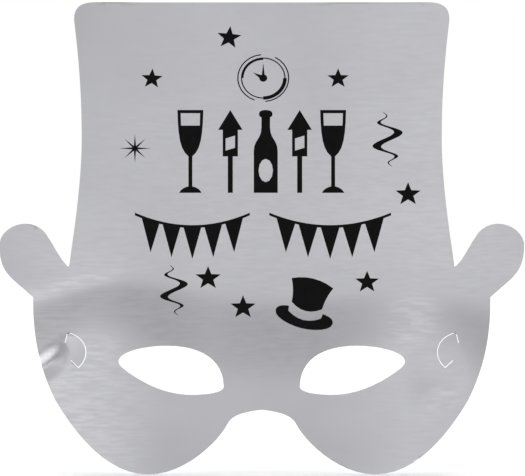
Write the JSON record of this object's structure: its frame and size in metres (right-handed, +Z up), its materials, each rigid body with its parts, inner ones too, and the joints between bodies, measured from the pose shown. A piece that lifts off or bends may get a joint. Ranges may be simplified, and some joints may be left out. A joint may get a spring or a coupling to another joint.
{
  "type": "party mask",
  "caption": "Half-face party mask shaped like a top hat: die-cut silver laminated paperboard with almond eye holes, a nose notch, two fold-in tabs for an elastic and a festive black print.",
  "frame": {"origin": "on the back of the board, midway between the two eye holes, where the mask rests on the bridge of the wearer's nose", "axes": "+X to the right of somebody looking at the printed front, across the mask from brim tip to brim tip; +Y out of the plain back, towards the wearer; +Z up, from the cheeks to the top of the crown"},
  "size_m": [0.2096, 0.0065, 0.1892],
  "materials": {
    "board": "matte",
    "film": "satin",
    "ink": "satin"
  },
  "bodies": {
    "mask": {"face_board": "board", "face_film": "film", "star_top": "ink", "star_left_of_clock": "ink", "star_right_of_clock": "ink", "star_far_right": "ink", "star_lower_left": "ink", "star_lower_middle": "ink", "star_lower_right": "ink", "clock_arc_left": "ink", "clock_arc_right": "ink", "clock_ring": "ink", "clock_hands": "ink", "spark": "ink", "flute_left": "ink", "rocket_left": "ink", "bottle": "ink", "rocket_right": "ink", "flute_right": "ink", "bunting_left": "ink", "bunting_right": "ink", "streamer_right": "ink", "streamer_left": "ink", "hat_crown": "ink", "hat_brim": "ink"},
    "left_tab": {"left_tab_board": "board", "left_tab_film": "film"},
    "right_tab": {"right_tab_board": "board", "right_tab_film": "film"}
  },
  "joints": [
    {"name": "left_tab_crease", "type": "hinge", "parent": "mask", "child": "left_tab", "pos_m": [-0.07645, -0.00266, 0.0039], "axis": [-0.308, -0.0324, 0.9508], "range_deg": [-8, 142]},
    {"name": "right_tab_crease", "type": "hinge", "parent": "mask", "child": "right_tab", "pos_m": [0.07645, -0.00266, 0.0039], "axis": [-0.308, 0.0324, -0.9508], "range_deg": [0, 150]}
  ]
}
